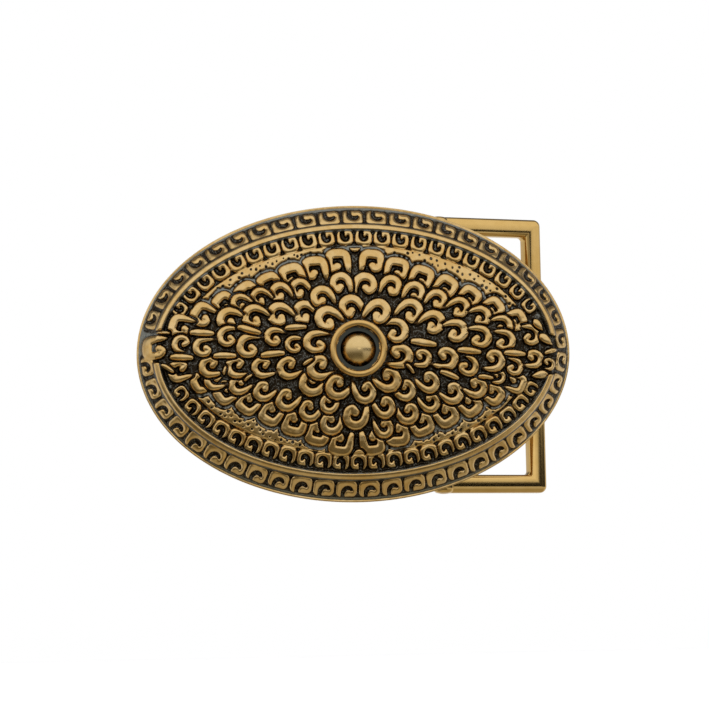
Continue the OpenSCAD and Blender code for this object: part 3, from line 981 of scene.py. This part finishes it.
def rubbed_brass(name, light, deep, rough, grain_scale, patina, grain=0.2, brushed=None, rings=()):
    """Worn solid brass: colour clouds, fine grain and brown patina in patches.

    grain is how much the fine grain shows in the roughness and the bump.  brushed stretches the
    grain.  Each of rings is a pair of radii round the boss's axis, in metres: clean, then dark.
    """
    material, tree, shader = new_material(name)
    place = object_place(tree)
    fine_place = brushed_place(tree, place, brushed) if brushed else place
    fine = noise(tree, fine_place, grain_scale, 4)
    coarse = noise(tree, place, 700, 4)
    broad = noise(tree, place, 150, 3)
    tone = math_node(tree, "MULTIPLY_ADD", broad, 0.6, math_node(tree, "MULTIPLY", coarse, 0.4))
    metal = mix_colour(tree, remap(tree, tone, 0.35, 0.65), deep, light)
    patches = math_node(tree, "MULTIPLY_ADD", fine, 0.25, coarse)
    colour = mix_colour(tree, remap(tree, patches, 0.78, 0.98, 0, patina), metal, BROWN)
    if rings:
        colour = patina_rings(tree, place, coarse, fine, rings, colour)
    link(tree, colour, shader.inputs["Base Color"])
    shader.inputs["Metallic"].default_value = 1.0
    uneven = math_node(tree, "MULTIPLY_ADD", fine, 0.6 * grain, rough - 0.3 * grain)
    link(tree, uneven, shader.inputs["Roughness"])
    link(tree, bump(tree, fine, 0.00002, grain), shader.inputs["Normal"])
    return material


def loop_brass():
    return rubbed_brass("loop_brass", (0.66, 0.44, 0.16), (0.60, 0.385, 0.125), 0.10, 5200, 0.2, 0.05)


def ring_brass():
    """The collar's brass, dark inside its ring and outside its foot."""
    rings = ((0.00385, 0.00365), (0.0049, 0.0051))
    return rubbed_brass("polished_brass_ring", (0.68, 0.45, 0.17), (0.58, 0.36, 0.12), 0.30, 5000, 0.4,
                        rings=rings)


def dome_brass():
    """The dome's brass, dark round its foot."""
    rings = ((0.00255, 0.0031),)
    return rubbed_brass("polished_brass_dome", (0.68, 0.50, 0.24), (0.60, 0.43, 0.19), 0.26, 6500, 0.5,
                        rings=rings)


def hook_brass():
    return rubbed_brass("hook_brass", (0.66, 0.43, 0.14), (0.58, 0.35, 0.10), 0.26, 5200, 0.3)


def satin_brass():
    """Sheet brass, brushed along the buckle's length."""
    return rubbed_brass("satin_brass", (0.62, 0.42, 0.16), (0.54, 0.34, 0.11), 0.36, 2600, 0.3,
                        brushed=(0.15, 1.0, 1.0))


def turned_brass():
    return rubbed_brass("turned_brass", (0.66, 0.45, 0.19), (0.56, 0.36, 0.13), 0.30, 6000, 0.35)


def floor_material():
    material, _, shader = new_material("pale_floor")
    shader.inputs["Base Color"].default_value = (0.93, 0.93, 0.92, 1)
    shader.inputs["Roughness"].default_value = 0.8
    shader.inputs["Specular IOR Level"].default_value = 0.1
    return material


# ---------------------------------------------------------------- the buckle

plaque = build_plaque()
plaque.data.materials.append(antique_brass())
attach(plaque, "plaque")
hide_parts("front_plaque")

strap_loop = build_loop()
strap_loop.data.materials.append(loop_brass())
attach(strap_loop, "loop")
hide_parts("belt_loop")

# The other pieces keep the CAD's own shape and get a material here
NODE_FINISHES = (
    (ring_brass(), ("boss_collar",)),
    (dome_brass(), ("boss_dome",)),
    (hook_brass(), ("belt_hook",)),
    (satin_brass(), ("back_plate", "hinge_lug_upper", "hinge_lug_lower", "hook_flange")),
    (turned_brass(), ("boss_washer", "hook_washer", "plate_screws", "lug_rivets", "hinge_pin")))
for finish, names in NODE_FINISHES:
    for name in names:
        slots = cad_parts[name].data.materials
        slots.clear()
        slots.append(finish)


# ---------------------------------------------------------------- stage, light and camera

# Below the buckle, in metres
FLOOR_Z = -0.066
FLOOR_HALF = 1.6


def add_floor():
    """A pale floor that the metal doesn't mirror."""
    corners = [(x * FLOOR_HALF, y * FLOOR_HALF, FLOOR_Z) for x, y in ((-1, -1), (1, -1), (1, 1), (-1, 1))]
    obj = new_object("floor", corners, [(0, 1, 2, 3)])
    obj.data.materials.append(floor_material())
    obj.visible_glossy = False


def ramp_node(tree, fac, stops):
    """A smooth run of colours; each stop is an elevation in degrees, a level and a tint."""
    ramp = tree.nodes.new("ShaderNodeValToRGB")
    link(tree, fac, ramp.inputs["Fac"])
    elements = ramp.color_ramp.elements
    while len(elements) < len(stops):
        elements.new(0.5)
    for element, (elevation, level, tint) in zip(elements, stops):
        element.position = (elevation + 90) / 180
        element.color = (level * tint[0], level * tint[1], level * tint[2], 1)
    return ramp.outputs["Color"]


# What the metal mirrors at each elevation: a warm table below and a pale tent above
WHITE = (1.0, 0.99, 0.97)
WARM = (1.0, 0.90, 0.66)
ROOM_FRONT = (
    (-90, 0.52, WARM), (-68, 0.52, WARM), (-55, 0.24, WARM), (-38, 0.15, WARM), (-20, 0.19, WARM),
    (-9, 0.50, WHITE), (2, 0.62, WHITE), (6, 0.90, WHITE), (14, 1.08, WHITE), (90, 1.05, WHITE))
# To the right of the camera a dark slot lies between the pale tent and a low panel
ROOM_RIGHT = (
    (-90, 0.72, WARM), (-68, 0.50, WARM), (-50, 0.42, WARM), (-10, 0.66, WHITE), (-7, 0.62, WHITE),
    (-5.8, 0.015, WHITE), (3.8, 0.015, WHITE), (4.9, 0.85, WHITE), (14, 1.05, WHITE),
    (90, 1.05, WHITE))
ROOM_BACK = (
    (-90, 0.72, WARM), (-70, 0.50, WARM), (-50, 0.45, WARM), (-30, 0.80, WHITE), (-5, 0.85, WHITE),
    (15, 0.60, WHITE), (30, 0.16, WHITE), (62, 0.20, WHITE), (84, 0.85, WHITE), (90, 1.0, WHITE))


def add_world():
    """White to the camera; the metal mirrors the room in front, to the right and behind."""
    world = bpy.data.worlds.new("studio")
    bpy.context.scene.world = world
    world.use_nodes = True
    tree = world.node_tree
    background = tree.nodes["Background"]
    split = tree.nodes.new("ShaderNodeSeparateXYZ")
    link(tree, tree.nodes.new("ShaderNodeTexCoord").outputs["Generated"], split.inputs[0])
    tilt = math_node(tree, "ARCSINE", split.outputs["Z"])
    elevation = math_node(tree, "MULTIPLY_ADD", tilt, 1 / math.pi, 0.5)
    to_right = remap(tree, split.outputs["X"], 0.40, 0.50)
    to_back = remap(tree, split.outputs["Y"], -0.05, 0.35)
    room = mix_colour(tree, to_right, ramp_node(tree, elevation, ROOM_FRONT),
                      ramp_node(tree, elevation, ROOM_RIGHT))
    room = mix_colour(tree, to_back, room, ramp_node(tree, elevation, ROOM_BACK))
    seen = tree.nodes.new("ShaderNodeLightPath").outputs["Is Camera Ray"]
    link(tree, mix_colour(tree, seen, room, (1.0, 1.0, 1.0)), background.inputs["Color"])
    background.inputs["Strength"].default_value = 1.0


def add_light(name, place, target, size, watts):
    """A rectangular light that the metal doesn't mirror."""
    light = bpy.data.lights.new(name, "AREA")
    light.shape = "RECTANGLE"
    light.size, light.size_y = size
    light.energy = watts
    obj = bpy.data.objects.new(name, light)
    obj.location = place
    obj.rotation_euler = (Vector(target) - Vector(place)).to_track_quat("-Z", "Y").to_euler()
    obj.visible_glossy = False
    bpy.context.scene.collection.objects.link(obj)


# The camera's place and lens, fitted to the photo's outline
CAMERA_DISTANCE = 0.5
CAMERA_TO_LEFT = math.radians(5.01)
CAMERA_BELOW = math.radians(5.50)
CAMERA_ROLL = math.radians(1.151)
CAMERA_LENS = 146.75
CAMERA_SHIFT = (0.0009, -0.0008)


def add_camera():
    """Seen from a little left of and below the buckle's middle, rolled slightly."""
    level = math.cos(CAMERA_BELOW)
    direction = Vector((-math.sin(CAMERA_TO_LEFT) * level, -math.cos(CAMERA_TO_LEFT) * level,
                        -math.sin(CAMERA_BELOW)))
    camera = bpy.data.cameras.new("camera")
    camera.sensor_width = 36
    camera.lens = CAMERA_LENS
    camera.shift_x, camera.shift_y = CAMERA_SHIFT
    camera.clip_start = 0.01
    obj = bpy.data.objects.new("camera", camera)
    right = (-direction).cross(Vector((0, 0, 1))).normalized()
    up = right.cross(-direction)
    turned_right = right * math.cos(CAMERA_ROLL) - up * math.sin(CAMERA_ROLL)
    turned_up = right * math.sin(CAMERA_ROLL) + up * math.cos(CAMERA_ROLL)
    rotation = Matrix((turned_right, turned_up, direction)).transposed()
    obj.matrix_world = Matrix.Translation(direction * CAMERA_DISTANCE) @ rotation.to_4x4()
    bpy.context.scene.collection.objects.link(obj)
    bpy.context.scene.camera = obj


add_floor()
add_world()
add_light("key_softbox", (-0.25, -0.45, 0.75), (0, 0, 0), (0.7, 0.5), 9)
add_light("floor_wash", (0.0, 0.3, 1.2), (0, 0.1, FLOOR_Z), (2.0, 2.0), 60)
add_camera()
scene = bpy.context.scene
scene.view_settings.view_transform = "Standard"
scene.cycles.use_denoising = True
scene.cycles.max_bounces = 8
